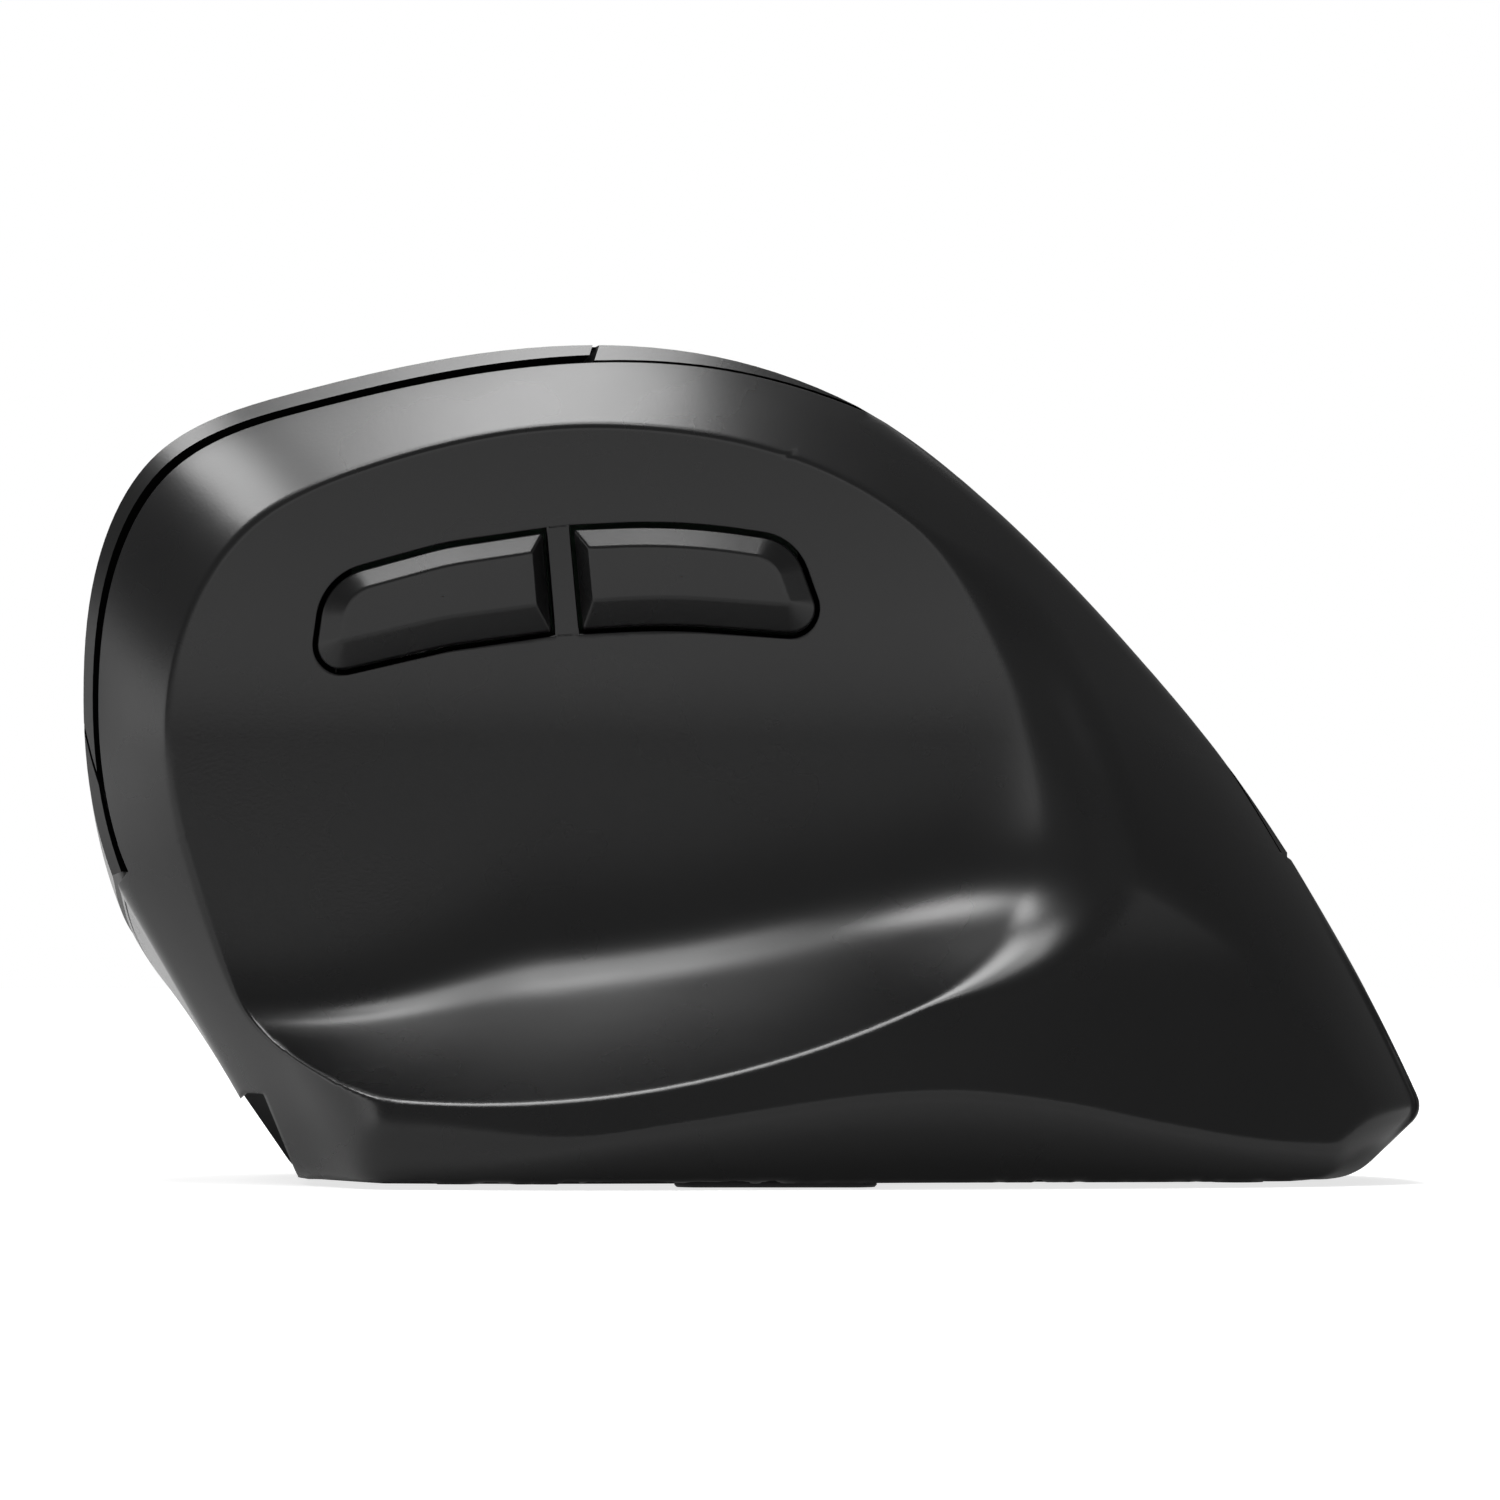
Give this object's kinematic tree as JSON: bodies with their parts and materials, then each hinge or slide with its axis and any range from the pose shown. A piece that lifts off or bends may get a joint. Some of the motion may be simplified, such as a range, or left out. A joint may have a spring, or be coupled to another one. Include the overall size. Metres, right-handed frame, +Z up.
{
  "type": "ergonomic mouse",
  "caption": "Vertical right-handed computer mouse with a sloped palm side, thumb scoop, click plates, scroll wheel and side buttons.",
  "frame": {"origin": "on the desk, under the middle of the mouse's length and width", "axes": "+X from the finger end to the heel, +Y towards the palm side, +Z up; the thumb side faces -Y"},
  "size_m": [0.1198, 0.0724, 0.075],
  "materials": {
    "shell_plastic": "satin",
    "palm_plastic": "soft satin",
    "button_plastic": "semi-gloss",
    "base_plastic": "fine grain",
    "inner_plastic": "moulded",
    "switch_body": "moulded",
    "switch_plunger": "moulded",
    "wheel_hub": "satin",
    "tyre_rubber": "ribbed rubber",
    "steel": "plain",
    "circuit_board": "solder mask",
    "chip": "moulded",
    "lens": "clear",
    "cell": "wrapped",
    "glide": "low friction",
    "receiver_body": "satin",
    "ribbon": "film"
  },
  "bodies": {
    "housing": {"main_shell": "shell_plastic", "palm_cover": "palm_plastic", "base_plate": "base_plastic", "upper_frame": "inner_plastic", "wheel_encoder": "inner_plastic", "power_switch": "inner_plastic", "left_switch": "switch_body", "right_switch": "switch_body", "middle_switch": "switch_body", "dpi_switch": "switch_body", "forward_switch": "switch_body", "back_switch": "switch_body", "click_pivot_pin": "steel", "base_screws": "steel", "board_screws": "steel", "charging_socket": "steel", "main_board": "circuit_board", "upper_board": "circuit_board", "side_button_board": "circuit_board", "board_chips": "chip", "optical_sensor": "chip", "sensor_lens": "lens", "status_light_pipe": "lens", "battery": "cell", "glide_feet": "glide", "ribbon_cable": "ribbon"},
    "left_click": {"left_click_plate": "palm_plastic"},
    "right_click": {"right_click_plate": "palm_plastic"},
    "left_plunger": {"left_switch_plunger": "switch_plunger"},
    "right_plunger": {"right_switch_plunger": "switch_plunger"},
    "carrier": {"wheel_carrier": "inner_plastic", "middle_switch_plunger": "switch_plunger"},
    "wheel": {"scroll_wheel": "wheel_hub", "wheel_tyre": "tyre_rubber", "wheel_axle": "steel"},
    "dpi": {"dpi_button": "button_plastic", "dpi_switch_plunger": "switch_plunger"},
    "forward": {"forward_button": "button_plastic", "forward_switch_plunger": "switch_plunger"},
    "back": {"back_button": "button_plastic", "back_switch_plunger": "switch_plunger"},
    "power": {"power_slider": "base_plastic"},
    "receiver": {"receiver": "receiver_body"}
  },
  "joints": [
    {"name": "left_click_hinge", "type": "hinge", "parent": "housing", "child": "left_click", "pos_m": [-0.0215, 0.00266, 0.04489], "axis": [0, -0.5736, 0.8192], "range_deg": [0, 0.75], "stiffness_Nm_per_rad": 2},
    {"name": "right_click_hinge", "type": "hinge", "parent": "housing", "child": "right_click", "pos_m": [-0.0215, 0.01384, 0.02892], "axis": [0, -0.5736, 0.8192], "range_deg": [0, 0.75], "stiffness_Nm_per_rad": 2},
    {"name": "left_plunger_slide", "type": "slide", "parent": "housing", "child": "left_plunger", "axis": [0, -0.8192, -0.5736], "range_m": [0, 0.000331]},
    {"name": "right_plunger_slide", "type": "slide", "parent": "housing", "child": "right_plunger", "axis": [0, -0.8192, -0.5736], "range_m": [0, 0.000253]},
    {"name": "middle_click_slide", "type": "slide", "parent": "housing", "child": "carrier", "axis": [0, -0.8192, -0.5736], "range_m": [0, 0.0005], "stiffness_N_per_m": 1200},
    {"name": "wheel_spin", "type": "hinge", "parent": "carrier", "child": "wheel", "pos_m": [-0.038, 0.00569, 0.03725], "axis": [0, 0.5736, -0.8192], "continuous": true},
    {"name": "dpi_slide", "type": "slide", "parent": "housing", "child": "dpi", "axis": [0, -0.8192, -0.5736], "range_m": [0, 0.0005], "stiffness_N_per_m": 900},
    {"name": "forward_slide", "type": "slide", "parent": "housing", "child": "forward", "axis": [0, 1, 0], "range_m": [0, 0.0005], "stiffness_N_per_m": 900},
    {"name": "back_slide", "type": "slide", "parent": "housing", "child": "back", "axis": [0, 1, 0], "range_m": [0, 0.0005], "stiffness_N_per_m": 900},
    {"name": "power_slide", "type": "slide", "parent": "housing", "child": "power", "axis": [1, 0, 0], "range_m": [-0.0015, 0.0015]},
    {"name": "receiver_pull", "type": "slide", "parent": "housing", "child": "receiver", "axis": [0, 0, -1], "range_m": [0, 0.019]}
  ],
  "couplings": [
    {"joint": "left_plunger_slide", "follows": "left_click_hinge", "m_per_rad": 0.0253},
    {"joint": "right_plunger_slide", "follows": "right_click_hinge", "m_per_rad": 0.0193}
  ]
}
